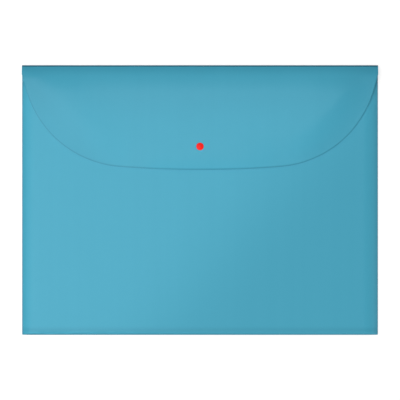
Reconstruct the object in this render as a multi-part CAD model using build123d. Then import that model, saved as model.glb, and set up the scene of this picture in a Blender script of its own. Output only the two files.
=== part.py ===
from build123d import *
import os
from math import acos, asin, atan2, cos, degrees, hypot, pi, sin

# An A4 document wallet. One polypropylene sheet is folded at the bottom, welded up both sides and
# creased twice at the top into a narrow spine and a flap, and a riveted press stud holds the flap shut.
# It lies on its back: X runs across, Y from the bottom fold to the top fold, and Z up through the front.
# Sizes are in millimetres, and the origin is the middle of the face that it lies on.

# The folded and welded pocket
wallet_width = 330.0
wallet_height = 250.0
sheet = 0.5
pocket_gap = 5.2  # room for papers where the panels are level
mouth_drop = 15.0  # from the top fold down to the pocket's mouth
shoulder_radius = 20.0  # inside of the front panel's roll down to each side
weld_width = 0.6  # bead of melted sheet that closes each side
weld_gap = 0.1  # left between the two sheets where they run into the bead
fold_leg = 1.0  # straight run between the bottom fold's bend and the panels
fold_steps = 6  # steps of the bottom fold from its level part to each pinched corner

# The creases and the flap
crease_reach = 0.35  # from a crease's axis to the full sheet on either side of it
crease_web = 0.25  # sheet left in a pressed crease
spine_height = 3.6  # between the axes of the two creases
flap_roll_radius = 80.0  # the flap's roll down to the spine
flap_crown_radius = 3000.0  # the flap's slight crown between the stud and that roll
flap_tip_gap = 0.5  # from the front panel up to the flap at its tip
flap_depth = 97.0  # from the top fold down to the flap's tip
flap_tip_radius = 1000.0  # shallow curve across the middle of the flap's edge
flap_corner_radius = 97.5
flap_corner_margin = 0.7  # the corner's circle stays this far inside the wallet's side
flap_side_drop = 8.5  # from the top fold down to where the flap's edge leaves the side

# The press stud
stud_drop = 75.5  # from the top fold down to the stud's axis
stud_land = 1.0  # level ring of flap around the socket
cap_diameter = 7.0
cap_height = 1.1
cap_rim = 0.45  # height of the cap's straight edge, under its dome
post_diameter = 2.0
rivet_diameter = 2.6  # flattened end of a post
rivet_depth = 0.2
socket_diameter = 8.0
socket_height = 1.35
socket_roof = 0.4
lip_height = 0.3
lip_depth = 0.15  # how far the socket's lip reaches in below its cavity
flange_diameter = 7.4
flange_height = 0.5
ball_diameter = 3.8
neck_diameter = 3.4
neck_height = 0.25
base_diameter = 7.0
base_height = 0.7
edge_round = 0.2  # rounded edges of the moulded pieces

# Clearances
post_clearance = 0.05  # around a post, in the sheet and in the piece that it holds
snap_clearance = 0.15  # between the stud's half and the socket's half, all round

# Places that follow from the sizes above
half_width = wallet_width / 2
top = wallet_height / 2
panel_half = half_width - weld_width
mouth = top - mouth_drop
front_under = sheet + pocket_gap
front_top = front_under + sheet

roll_angle = acos(1 - (pocket_gap - weld_gap) / shoulder_radius)
shoulder_x = panel_half - shoulder_radius * sin(roll_angle)
shoulder_z = front_under - shoulder_radius
outer_radius = shoulder_radius + sheet
outer_roll = asin((panel_half - shoulder_x) / outer_radius)
edge_top = shoulder_z + outer_radius * cos(outer_roll)
edge_under = sheet + weld_gap
fold_line = front_top / 2 + fold_leg - top

crease_y = top - sheet / 2
panel_end = crease_y - crease_reach
rear_crease_z = sheet / 2
front_crease_z = rear_crease_z + spine_height
spine_bottom = rear_crease_z + crease_reach
spine_top = front_crease_z - crease_reach

stud_y = top - stud_drop
post_radius = post_diameter / 2
hole_radius = post_radius + post_clearance
rivet_radius = rivet_diameter / 2
sink_radius = rivet_radius + post_clearance
flange_top = front_top + flange_height
ball_top = flange_top + socket_height - socket_roof
socket_bottom = flange_top + snap_clearance
socket_ceiling = ball_top + snap_clearance
flap_under = socket_bottom + socket_height
flap_top = flap_under + sheet


def stud_hole(height):
    """A post's hole through the sheet, centred on a height."""
    return Pos(0, stud_y, height) * Cylinder(hole_radius, 2 * sheet)


def turned(edges):
    """A piece of the press stud, turned about its axis from a half section of radius and height."""
    half_section = Plane.XZ * make_face(edges)
    return Pos(0, stud_y, 0) * revolve(half_section, Axis.Z)


def back_panel():
    """The flat back, trimmed for the side welds below the mouth and as wide as the flap above it."""
    right = [(panel_half, fold_line), (panel_half, mouth), (half_width, mouth), (half_width, panel_end)]
    left = [(-x, y) for x, y in reversed(right)]
    outline = make_face(Polyline(*right, *left, close=True))
    return extrude(outline, sheet)


def front_panel():
    """The front, level in the middle and rolled down to the weld at each side, with the stud's hole."""
    edges = [
        Line((-shoulder_x, front_under), (shoulder_x, front_under)),
        Line((-shoulder_x, front_top), (shoulder_x, front_top)),
    ]
    for side in (-1, 1):
        centre = (side * shoulder_x, shoulder_z)
        edges += [
            CenterArc(centre, shoulder_radius, 90, -side * degrees(roll_angle)),
            CenterArc(centre, outer_radius, 90, -side * degrees(outer_roll)),
            Line((side * panel_half, edge_under), (side * panel_half, edge_top)),
        ]
    section = Plane.XZ.offset(-mouth) * make_face(edges)
    panel = extrude(section, mouth - fold_line)
    return panel - stud_hole(front_top)


def fold_section(x, height):
    """The bottom fold's U across one place: two legs and a half-round bend of the outside height."""
    bend = height / 2
    centre = (bend - top, bend)
    edges = [Line((fold_line, 0), (fold_line, sheet)), Line((fold_line, height - sheet), (fold_line, height))]
    for radius in (bend, bend - sheet):
        low = bend - radius
        edges += [
            Line((fold_line, low), (centre[0], low)),
            CenterArc(centre, radius, 180, 90),
            CenterArc(centre, radius, 90, 90),
            Line((centre[0], height - low), (fold_line, height - low)),
        ]
    return Plane.YZ.offset(x) * make_face(edges)


def bottom_fold():
    """The bend at the bottom, as high as the front panel and pinched with it towards each corner."""
    right = []
    for step in range(fold_steps + 1):
        roll = outer_roll * step / fold_steps
        right.append((shoulder_x + outer_radius * sin(roll), shoulder_z + outer_radius * cos(roll)))
    left = [(-x, height) for x, height in reversed(right)]
    return loft([fold_section(x, height) for x, height in left + right], ruled=True)


def side_weld(side):
    """The bead along one side, half round outside, over the ends of both sheets and of the fold."""
    middle = (panel_half, edge_top / 2)
    bead = [
        Line((panel_half, 0), (panel_half, edge_top)),
        EllipticalCenterArc(middle, weld_width, edge_top / 2, start_angle=-90, arc_size=180),
    ]
    strip = extrude(Plane.XZ.offset(-mouth) * make_face(bead), mouth + top)
    return strip if side > 0 else mirror(strip, about=Plane.YZ)


def crease(centre_z, start_angle):
    """A pressed crease: a thin quarter-round web between the ends of two full sheets."""
    centre = (panel_end, centre_z)
    outside = sheet / 2 + crease_reach
    inside = outside - crease_web
    edges = [CenterArc(centre, radius, start_angle, 90) for radius in (inside, outside)]
    for angle in (start_angle, start_angle + 90):
        ray = (cos(angle * pi / 180), sin(angle * pi / 180))
        ends = [(centre[0] + radius * ray[0], centre[1] + radius * ray[1]) for radius in (inside, outside)]
        edges.append(Line(*ends))
    return extrude(Plane.YZ.offset(-half_width) * make_face(edges), wallet_width)


def spine():
    """The strip between the creases, which stands up behind the pocket's mouth."""
    middle = (spine_bottom + spine_top) / 2
    return Pos(0, crease_y, middle) * Box(wallet_width, sheet, spine_top - spine_bottom)


def flap_outline():
    """The flap's die-cut plan: a shallow middle curve, large round corners and straight runs to the sides."""
    middle = (0, top - flap_depth + flap_tip_radius)
    between = flap_tip_radius - flap_corner_radius
    corner_x = half_width - flap_corner_margin - flap_corner_radius
    lean = asin(corner_x / between)
    corner = (corner_x, middle[1] - between * cos(lean))
    # The straight run from the side point touches the corner's circle at the bearing leave.
    side = (half_width, top - flap_side_drop)
    far = hypot(side[0] - corner[0], side[1] - corner[1])
    leave = atan2(side[1] - corner[1], side[0] - corner[0]) - acos(flap_corner_radius / far)
    leave_point = (corner[0] + flap_corner_radius * cos(leave), corner[1] + flap_corner_radius * sin(leave))
    meet = lean - pi / 2
    right = [
        CenterArc(corner, flap_corner_radius, degrees(meet), degrees(leave - meet)),
        Polyline(leave_point, side, (half_width, panel_end)),
    ]
    left = [mirror(edge, about=Plane.YZ) for edge in right]
    across = [
        CenterArc(middle, flap_tip_radius, -90 - degrees(lean), 2 * degrees(lean)),
        Line((-half_width, panel_end), (half_width, panel_end)),
    ]
    return make_face(right + left + across)


def flap_line(lift):
    """The flap's section along Y: level at the stud, rolled down to the spine and bent down to its tip."""
    land = socket_diameter / 2 + stud_land
    height = flap_under + lift
    tip_run = flap_depth - stud_drop - land
    tip_fall = flap_under - front_top - flap_tip_gap
    tip_radius = (tip_run**2 + tip_fall**2) / (2 * tip_fall)
    tip_turn = asin((tip_run + sheet) / tip_radius)
    # The crown leaves the land level, and hands over to the roll where one circle touches the other inside.
    crown = (stud_y + land, height - flap_crown_radius)
    root = (panel_end, front_crease_z - sheet / 2 + lift)
    between = flap_crown_radius - flap_roll_radius
    reach = hypot(root[0] - crown[0], root[1] - crown[1])
    slope = atan2(root[0] - crown[0], root[1] - crown[1])
    handover = slope - acos((reach**2 + between**2 - flap_roll_radius**2) / (2 * between * reach))
    roll = (crown[0] + between * sin(handover), crown[1] + between * cos(handover))
    root_turn = atan2(root[0] - roll[0], root[1] - roll[1])
    return [
        CenterArc((stud_y - land, height - tip_radius), tip_radius, 90, degrees(tip_turn)),
        Line((stud_y - land, height), (stud_y + land, height)),
        CenterArc(crown, flap_crown_radius, 90, -degrees(handover)),
        CenterArc(roll, flap_roll_radius, 90 - degrees(handover), degrees(handover - root_turn)),
    ]


def flap():
    """The flap: its curved section drawn across the wallet, then cut to its plan and pierced."""
    under = flap_line(0)
    over = flap_line(sheet)
    ends = [Line(under[place] @ 1, over[place] @ 1) for place in (0, -1)]
    blank = extrude(Plane.YZ.offset(-half_width) * make_face(under + over + ends), wallet_width)
    cut = extrude(flap_outline(), flap_top + sheet)
    return (blank & cut) - stud_hole(flap_under)


def snap_cap():
    """The domed cap outside the flap, with the post that is flattened inside the socket."""
    radius = cap_diameter / 2
    crown = flap_top + cap_height
    rim = flap_top + cap_rim
    return turned(
        [
            Line((0, socket_ceiling), (rivet_radius, socket_ceiling)),
            Line((rivet_radius, socket_ceiling), (post_radius, socket_ceiling + rivet_depth)),
            Line((post_radius, socket_ceiling + rivet_depth), (post_radius, flap_top)),
            Line((post_radius, flap_top), (radius, flap_top)),
            Line((radius, flap_top), (radius, rim)),
            TangentArc((0, crown), (radius, rim), tangent=(1, 0)),
            Line((0, crown), (0, socket_ceiling)),
        ]
    )


def snap_socket():
    """The socket under the flap: a lipped cavity for the ball, and a countersink for the cap's post."""
    radius = socket_diameter / 2
    lip = ball_diameter / 2 + snap_clearance
    cavity = lip + lip_depth
    lip_top = socket_bottom + lip_height
    sink_top = socket_ceiling + rivet_depth
    return turned(
        [
            Line((lip, socket_bottom), (radius - edge_round, socket_bottom)),
            CenterArc((radius - edge_round, socket_bottom + edge_round), edge_round, -90, 90),
            Line((radius, socket_bottom + edge_round), (radius, flap_under)),
            Line((radius, flap_under), (hole_radius, flap_under)),
            Line((hole_radius, flap_under), (hole_radius, sink_top)),
            Line((hole_radius, sink_top), (sink_radius, socket_ceiling)),
            Line((sink_radius, socket_ceiling), (cavity, socket_ceiling)),
            Line((cavity, socket_ceiling), (cavity, lip_top)),
            Line((cavity, lip_top), (lip, lip_top)),
            Line((lip, lip_top), (lip, socket_bottom)),
        ]
    )


def snap_stud():
    """The stud on the front panel: a flange, a neck and a ball, countersunk for the base's post."""
    radius = flange_diameter / 2
    neck = neck_diameter / 2
    neck_top = flange_top + neck_height
    bulge = (ball_diameter / 2, (neck_top + ball_top) / 2)
    sink_bottom = ball_top - rivet_depth
    return turned(
        [
            Line((hole_radius, front_top), (radius, front_top)),
            Line((radius, front_top), (radius, flange_top - edge_round)),
            CenterArc((radius - edge_round, flange_top - edge_round), edge_round, 0, 90),
            Line((radius - edge_round, flange_top), (neck, flange_top)),
            Line((neck, flange_top), (neck, neck_top)),
            ThreePointArc((neck, neck_top), bulge, (neck, ball_top)),
            Line((neck, ball_top), (sink_radius, ball_top)),
            Line((sink_radius, ball_top), (hole_radius, sink_bottom)),
            Line((hole_radius, sink_bottom), (hole_radius, front_top)),
        ]
    )


def snap_base():
    """The disc inside the pocket, with the post that is flattened in the top of the stud's ball."""
    radius = base_diameter / 2
    bottom = front_under - base_height
    sink_bottom = ball_top - rivet_depth
    return turned(
        [
            Line((0, bottom), (radius - edge_round, bottom)),
            CenterArc((radius - edge_round, bottom + edge_round), edge_round, -90, 90),
            Line((radius, bottom + edge_round), (radius, front_under)),
            Line((radius, front_under), (post_radius, front_under)),
            Line((post_radius, front_under), (post_radius, sink_bottom)),
            Line((post_radius, sink_bottom), (rivet_radius, ball_top)),
            Line((rivet_radius, ball_top), (0, ball_top)),
            Line((0, ball_top), (0, bottom)),
        ]
    )


pieces = {
    "back_panel": back_panel(),
    "bottom_fold": bottom_fold(),
    "front_panel": front_panel(),
    "left_weld": side_weld(-1),
    "right_weld": side_weld(1),
    "rear_crease": crease(spine_bottom, -90),
    "spine": spine(),
    "front_crease": crease(spine_top, 0),
    "flap": flap(),
    "snap_cap": snap_cap(),
    "snap_socket": snap_socket(),
    "snap_stud": snap_stud(),
    "snap_base": snap_base(),
}

os.makedirs("parts", exist_ok=True)
for name, piece in pieces.items():
    export_step(piece, f"parts/{name}.step")
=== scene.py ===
"""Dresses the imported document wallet: folded pocket, side welds, creased spine, flap and press stud.

Lengths are millimetres in the wallet's own frame: X runs across, Y up to the top fold and Z out of the
front. They turn to metres only where a mesh, a material, a lamp or the camera is made.
"""

import logging
from collections.abc import Callable
from dataclasses import dataclass
from enum import Enum, IntEnum
from typing import Any

import bpy
import numpy as np
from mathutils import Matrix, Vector

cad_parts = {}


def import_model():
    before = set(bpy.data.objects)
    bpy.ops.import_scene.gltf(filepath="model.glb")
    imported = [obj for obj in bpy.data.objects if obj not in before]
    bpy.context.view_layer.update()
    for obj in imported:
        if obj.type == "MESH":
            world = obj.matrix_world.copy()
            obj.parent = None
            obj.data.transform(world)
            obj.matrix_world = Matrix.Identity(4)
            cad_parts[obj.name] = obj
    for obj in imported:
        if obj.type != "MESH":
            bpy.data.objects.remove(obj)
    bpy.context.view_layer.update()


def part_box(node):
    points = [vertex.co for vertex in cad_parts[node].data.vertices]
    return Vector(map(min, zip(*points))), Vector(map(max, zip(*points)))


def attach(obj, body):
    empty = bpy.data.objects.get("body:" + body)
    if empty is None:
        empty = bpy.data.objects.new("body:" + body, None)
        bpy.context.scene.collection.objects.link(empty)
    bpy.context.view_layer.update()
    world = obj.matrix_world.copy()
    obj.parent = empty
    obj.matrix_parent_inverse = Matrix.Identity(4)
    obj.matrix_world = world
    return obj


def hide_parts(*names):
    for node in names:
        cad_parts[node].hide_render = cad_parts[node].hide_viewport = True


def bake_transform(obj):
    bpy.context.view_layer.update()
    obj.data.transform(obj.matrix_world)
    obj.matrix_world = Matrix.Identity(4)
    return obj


LOG = logging.getLogger("wallet")
MM = 0.001  # metres in a millimetre
SHADE_AND_GLOSS = "painted_shade_and_gloss"  # the attribute that gives painted shade, and gloss, at each place, from 0 to 1
CUT_RADIUS = 0.12  # of the rounding along a cut edge
CUT_TURNS = np.radians([0, 30, 60, 90])  # of that rounding, at each of its grid lines
SHARP_ANGLE = np.radians(40)  # faces that meet at more than this have a crease in their shading
CORNER_POINTS = 6  # of a rounded corner in a turned section
LINE_DIGITS = 6  # grid lines that agree to this many decimals are one line
POST_RADIUS = 1.0  # of the posts that rivet the press stud through the sheet
POST_CLEARANCE = 0.05  # round a post
BORE = POST_RADIUS + POST_CLEARANCE  # radius of each hole that a post passes through

Grid = np.ndarray
Point = tuple[float, float, float]
Surface = Callable[[Grid, Grid], Grid]
Path = Callable[[Grid], tuple[Grid, Grid]]


class Body(Enum):
    """The wallet's moving bodies."""

    POCKET = "pocket"
    SPINE = "spine"
    FLAP = "flap"


class Slot(Enum):
    """The record's material slots."""

    SHEET = "sheet"
    SNAP = "snap"


class Side(Enum):
    """The two welded sides, each with its direction along X."""

    LEFT = -1
    RIGHT = 1


class Stretch(IntEnum):
    """The row at which each stretch of the folded sheet starts, and the last row, at the mouth."""

    BACK = 0
    BACK_LEG = 1
    BEND = 2
    FRONT_LEG = 3
    FRONT = 4
    MOUTH = 5


def linear(colour: str) -> tuple[float, float, float, float]:
    """Turns an sRGB hex value into linear light.

    Each channel follows the sRGB curve: straight near black, and a power of 2.4 above that.

    Args:
        colour: six hex digits, such as 55AAC6.

    Returns:
        Linear red, green and blue, and an alpha of 1.
    """
    channels = np.array([int(colour[place : place + 2], 16) for place in (0, 2, 4)]) / 255
    light = np.where(channels <= 0.04045, channels / 12.92, ((channels + 0.055) / 1.055) ** 2.4)
    return (*light.tolist(), 1.0)


def add_node(
    tree: bpy.types.NodeTree, kind: str, inputs: dict[str | int, Any] | None = None, **settings: Any
) -> bpy.types.Node:
    """Adds one node with its settings and links.

    Args:
        tree: the tree that gets the node.
        kind: Blender's name for the node's type.
        inputs: for each input, by name or number, a constant or the output that feeds it.
        settings: the node's own properties.

    Returns:
        The new node.
    """
    node = tree.nodes.new(kind)
    for name, value in settings.items():
        setattr(node, name, value)
    for socket, value in (inputs or {}).items():
        if isinstance(value, bpy.types.NodeSocket):
            tree.links.new(value, node.inputs[socket])
        else:
            node.inputs[socket].default_value = value
    return node


def empty_material(name: str) -> tuple[bpy.types.Material, bpy.types.NodeTree]:
    """Makes a material with no nodes.

    Args:
        name: the real material and how its surface was made.

    Returns:
        The material and its node tree.
    """
    material = bpy.data.materials.new(name)
    material.use_nodes = True
    material.node_tree.nodes.clear()
    return material, material.node_tree


@dataclass(frozen=True)
class PolypropyleneSheet:
    """Extruded polypropylene sheet, rolled to a satin grain while warm.

    The dye goes right through it, so the eye gets one calm blue with a broad weak sheen and faint streaks
    along the way it was drawn. Where the mesh's attribute is high, along cut edges, creases, folds, welds
    and over the flap's roll and corners, the blue is painted deeper as painted shade, and the sheet is
    glossier, with less of the grain. The attribute runs from 0 to 1.
    """

    colour: str = "44A0BA"
    streak_colour: str = "47A2BC"
    # painted shade: a deeper blue for the dark lines that light leaves at edges, creases and folds
    painted_shade_colour: str = "186178"
    roughness: float = 0.42
    worked_roughness: float = 0.3
    uneven: float = 0.03  # by how much the streaks shift the roughness
    refraction: float = 1.49
    specular_level: float = 0.155  # the grain scatters some of the shine away
    grain: float = 0.7  # the rolled grain is about 0.2, and is drawn this coarse so that it shows
    grain_height: float = 0.006
    grain_detail: float = 2.0
    streak_width: float = 9.0
    streak_length: float = 420.0
    streak_detail: float = 3.0

    def material(self) -> bpy.types.Material:
        """Builds the shader: streaked colour, painted shade, uneven roughness and a fine grain.

        Returns:
            The material.
        """
        material, tree = empty_material("polypropylene_sheet_rolled_satin")
        place = add_node(tree, "ShaderNodeTexCoord").outputs["Object"]
        painted_shade_and_gloss = add_node(tree, "ShaderNodeAttribute", attribute_name=SHADE_AND_GLOSS).outputs["Fac"]
        across, along = 1 / (self.streak_width * MM), 1 / (self.streak_length * MM)
        drawn = add_node(tree, "ShaderNodeMapping", {"Vector": place, "Scale": (across, along, across)})
        streaks = add_node(
            tree,
            "ShaderNodeTexNoise",
            {"Vector": drawn.outputs["Vector"], "Scale": 1.0, "Detail": self.streak_detail},
        ).outputs["Fac"]
        dyed = add_node(
            tree,
            "ShaderNodeMix",
            {"Factor": streaks, "A": linear(self.colour), "B": linear(self.streak_colour)},
            data_type="RGBA",
        )
        # painted shade: the attribute mixes in the deeper blue
        colour = add_node(
            tree,
            "ShaderNodeMix",
            {"Factor": painted_shade_and_gloss, "A": dyed.outputs["Result"], "B": linear(self.painted_shade_colour)},
            data_type="RGBA",
        )
        satin = add_node(
            tree,
            "ShaderNodeMapRange",
            {
                "Value": streaks,
                "To Min": self.roughness - self.uneven,
                "To Max": self.roughness + self.uneven,
            },
        )
        rough = add_node(
            tree,
            "ShaderNodeMix",
            {"Factor": painted_shade_and_gloss, "A": satin.outputs["Result"], "B": self.worked_roughness},
        )
        grain = add_node(
            tree,
            "ShaderNodeTexNoise",
            {"Vector": place, "Scale": 1 / (self.grain * MM), "Detail": self.grain_detail},
        )
        left = add_node(tree, "ShaderNodeMath", {0: 1.0, 1: painted_shade_and_gloss}, operation="SUBTRACT")
        bump = add_node(
            tree,
            "ShaderNodeBump",
            {
                "Height": grain.outputs["Fac"],
                "Strength": left.outputs["Value"],
                "Distance": self.grain_height * MM,
            },
        )
        shader = add_node(
            tree,
            "ShaderNodeBsdfPrincipled",
            {
                "Base Color": colour.outputs["Result"],
                "Roughness": rough.outputs["Result"],
                "Normal": bump.outputs["Normal"],
                "IOR": self.refraction,
                "Specular IOR Level": self.specular_level,
            },
        )
        add_node(tree, "ShaderNodeOutputMaterial", {"Surface": shader.outputs["BSDF"]})
        return material


@dataclass(frozen=True)
class MouldedSnap:
    """Acetal, injection moulded in a finely frosted tool.

    The eye gets a saturated warm red with a soft highlight, a shade deeper where the melt cooled last.
    """

    colour: str = "F81E14"
    deep_colour: str = "EC1A10"
    roughness: float = 0.33
    uneven: float = 0.05  # by how much the clouds shift the roughness
    refraction: float = 1.48
    specular_level: float = 0.13  # the moulding's fine frost scatters some of the shine away
    flow: float = 1.6  # size of the clouds that the melt leaves
    flow_detail: float = 2.0

    def material(self) -> bpy.types.Material:
        """Builds the shader: a red clouded by the melt's flow and a slightly uneven gloss.

        Returns:
            The material.
        """
        material, tree = empty_material("acetal_moulded_red")
        place = add_node(tree, "ShaderNodeTexCoord").outputs["Object"]
        flow = add_node(
            tree,
            "ShaderNodeTexNoise",
            {"Vector": place, "Scale": 1 / (self.flow * MM), "Detail": self.flow_detail},
        ).outputs["Fac"]
        colour = add_node(
            tree,
            "ShaderNodeMix",
            {"Factor": flow, "A": linear(self.deep_colour), "B": linear(self.colour)},
            data_type="RGBA",
        )
        rough = add_node(
            tree,
            "ShaderNodeMapRange",
            {"Value": flow, "To Min": self.roughness - self.uneven, "To Max": self.roughness + self.uneven},
        )
        shader = add_node(
            tree,
            "ShaderNodeBsdfPrincipled",
            {
                "Base Color": colour.outputs["Result"],
                "Roughness": rough.outputs["Result"],
                "IOR": self.refraction,
                "Specular IOR Level": self.specular_level,
            },
        )
        add_node(tree, "ShaderNodeOutputMaterial", {"Surface": shader.outputs["BSDF"]})
        return material


def seen_rays(tree: bpy.types.NodeTree) -> bpy.types.NodeSocket:
    """Tells apart the rays that see the background from those that carry light.

    Args:
        tree: the tree that gets the nodes.

    Returns:
        An output of 1 for rays from the camera, a mirror or glass, and 0 for scattered light.
    """
    path = add_node(tree, "ShaderNodeLightPath")
    seen = add_node(
        tree,
        "ShaderNodeMath",
        {0: path.outputs["Is Camera Ray"], 1: path.outputs["Is Glossy Ray"]},
        operation="MAXIMUM",
    )
    return add_node(
        tree,
        "ShaderNodeMath",
        {0: seen.outputs["Value"], 1: path.outputs["Is Transmission Ray"]},
        operation="MAXIMUM",
    ).outputs["Value"]


@dataclass(frozen=True)
class PaintedBoard:
    """Board under a matt white paint, for the floor.

    The eye gets an even white that still takes the wallet's shadow, because a white glow covers only a share
    of the paint. The glow grows with the distance from the wallet, so that the floor stays white where the
    lamps no longer light it.
    """

    colour: str = "E0E0E0"
    glow_share: float = 0.6  # of the paint that the glow covers, for the eye alone
    near_glow: float = 1.28  # beside the wallet, where the lamps light the paint
    far_glow: float = 1.54  # past the lamps' reach
    near: float = 300.0  # the glow grows from this distance
    far: float = 2500.0  # to this one

    def material(self) -> bpy.types.Material:
        """Builds the shader: matt paint, mixed with the glow for the rays that see it.

        Returns:
            The material.
        """
        material, tree = empty_material("board_matt_white")
        seen = seen_rays(tree)
        place = add_node(tree, "ShaderNodeTexCoord").outputs["Object"]
        away = add_node(tree, "ShaderNodeVectorMath", {0: place}, operation="LENGTH")
        glow = add_node(
            tree,
            "ShaderNodeMapRange",
            {
                "Value": away.outputs["Value"],
                "From Min": self.near * MM,
                "From Max": self.far * MM,
                "To Min": self.near_glow,
                "To Max": self.far_glow,
            },
        )
        share = add_node(tree, "ShaderNodeMath", {0: seen, 1: self.glow_share}, operation="MULTIPLY")
        paint = add_node(tree, "ShaderNodeBsdfDiffuse", {"Color": linear(self.colour)})
        light = add_node(tree, "ShaderNodeEmission", {"Strength": glow.outputs["Result"]})
        both = add_node(
            tree,
            "ShaderNodeMixShader",
            {0: share.outputs["Value"], 1: paint.outputs["BSDF"], 2: light.outputs["Emission"]},
        )
        add_node(tree, "ShaderNodeOutputMaterial", {"Surface": both.outputs["Shader"]})
        return material


def smooth(share: Grid) -> Grid:
    """Eases a share from 0 to 1: three times its square less twice its cube, held at 0 and 1 outside."""
    held = np.clip(share, 0.0, 1.0)
    return held * held * (3 - 2 * held)


def circle_drop(radius: float, from_top: Grid) -> Grid:
    """Depth below a circle's top: the radius less the root of its square less the distance's square."""
    return radius - np.sqrt(np.maximum(radius**2 - from_top**2, 0.0))


def spread(*stops: float, step: float) -> Grid:
    """Places between the stops, evenly spread over each stretch and no further apart than a step.

    Args:
        stops: places that have to be among the results, in order.
        step: the widest spacing.

    Returns:
        The places in order, each stop once.
    """
    runs = []
    for start, end in zip(stops, stops[1:]):
        count = max(1, int(np.ceil(abs(end - start) / step)))
        runs.append(np.linspace(start, end, count, endpoint=False))
    return np.concatenate([*runs, [stops[-1]]])


def edge_lines(start: float, end: float, ease: float, step: float, *stops: float) -> Grid:
    """Grid lines from one cut edge to another, close together over the rounding of each edge.

    The close lines stand off from the edge by the radius times one less the cosine of equal turns.

    Args:
        start: the first edge.
        end: the second edge, which is further along.
        ease: radius of the rounding.
        step: the widest spacing between.
        stops: places that need a line.

    Returns:
        The lines in order.
    """
    bend = ease * (1 - np.cos(CUT_TURNS))
    inner = spread(start + ease, *stops, end - ease, step=step)
    return np.concatenate([start + bend[:-1], inner, (end - bend[:-1])[::-1]])


def quads_of(index: Grid) -> Grid:
    """The four corners of each cell of a grid of corner numbers, along its row first."""
    return np.stack([index[:-1, :-1], index[:-1, 1:], index[1:, 1:], index[1:, :-1]], axis=-1)


def border(index: Grid) -> Grid:
    """Walks round a grid of corner numbers, with the grid on the left, and back to the start."""
    around = [index[0, :-1], index[:-1, -1], index[-1, :0:-1], index[:0:-1, 0], index[0, :1]]
    return np.concatenate(around)


def walls(loop: Grid, count: int) -> Grid:
    """Joins a walk round the upper face to that round the lower one, whose numbers are count more."""
    start, end = loop[:-1], loop[1:]
    return np.stack([end, start, start + count, end + count], axis=-1)


def add_object(name: str, data: bpy.types.ID) -> bpy.types.Object:
    """Adds an object to the scene, at the origin.

    Args:
        name: the object's name.
        data: its mesh, lamp or camera.

    Returns:
        The new object.
    """
    item = bpy.data.objects.new(name, data)
    bpy.context.scene.collection.objects.link(item)
    return item


def piece_of(
    name: str, points: Grid, faces: list[list[int]], painted_shade_and_gloss: Grid | float = 0.0
) -> bpy.types.Object:
    """Makes a smooth-shaded piece, with a crease in the shading where its faces meet at a sharp angle.

    Args:
        name: the piece's name.
        points: its corners, one row each.
        faces: the corners of each face, anticlockwise from outside.
        painted_shade_and_gloss: painted shade, and gloss, at each corner, from 0 to 1.

    Returns:
        The new object, at the origin.
    """
    mesh = bpy.data.meshes.new(name)
    mesh.from_pydata((points * MM).tolist(), [], faces)
    mesh.shade_smooth()
    mesh.set_sharp_from_angle(angle=SHARP_ANGLE)
    attribute = mesh.attributes.new(SHADE_AND_GLOSS, "FLOAT", "POINT")
    attribute.data.foreach_set("value", np.broadcast_to(painted_shade_and_gloss, len(points)).astype(np.float32))
    return add_object(name, mesh)


def dress(
    piece: bpy.types.Object, material: bpy.types.Material, nodes: tuple[str, ...]
) -> bpy.types.Object:
    """Gives a piece its material and hides the frame's nodes that it replaces.

    Args:
        piece: the piece.
        material: its finish.
        nodes: the frame's nodes that it replaces.

    Returns:
        The same piece.
    """
    piece.data.materials.append(material)
    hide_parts(*nodes)
    return piece


@dataclass(frozen=True)
class Punch:
    """A round hole through a sheet, on a square block of the grid that is drawn to a circle."""

    centre: tuple[float, float]
    radius: float
    lines: int = 4  # grid lines from the middle of the block to its side
    reach: float = 3.0  # beyond this the grid is square again

    def stops(self, place: float) -> Grid:
        """Grid lines across the block, and two more outside it on each side.

        Args:
            place: the hole's centre along the axis that the lines cross.

        Returns:
            The lines in order.
        """
        block = np.linspace(-self.radius, self.radius, 2 * self.lines + 1)
        outside = (self.radius + self.reach) / 2
        return place + np.array([-self.reach, -outside, *block, outside, self.reach])

    def draw(self, x: Grid, y: Grid) -> tuple[Grid, Grid]:
        """Moves the grid's points so that the square rings round the hole become circles.

        A point keeps its direction from the centre. Its distance becomes its ring's own half side, and goes
        back to the distance that it had as the ring grows to the reach.

        Args:
            x: places across.
            y: places along.

        Returns:
            The moved places across and along.
        """
        across, along = x - self.centre[0], y - self.centre[1]
        ring = np.maximum(np.abs(across), np.abs(along))
        least = 1e-9
        far = np.maximum(np.hypot(across, along), least)
        back = smooth((ring - self.radius) / (self.reach - self.radius))
        scale = (1 - back) * ring / far + back
        return self.centre[0] + across * scale, self.centre[1] + along * scale

    def block(self, x: Grid, y: Grid) -> tuple[slice, slice]:
        """Finds the part of a grid that lies in the hole, its edge included.

        Args:
            x: places of the grid's columns.
            y: places of its rows.

        Returns:
            The rows and the columns.
        """
        tolerance = 1e-6
        rows = np.flatnonzero(np.abs(y - self.centre[1]) <= self.radius + tolerance)
        columns = np.flatnonzero(np.abs(x - self.centre[0]) <= self.radius + tolerance)
        return slice(rows[0], rows[-1] + 1), slice(columns[0], columns[-1] + 1)


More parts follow.
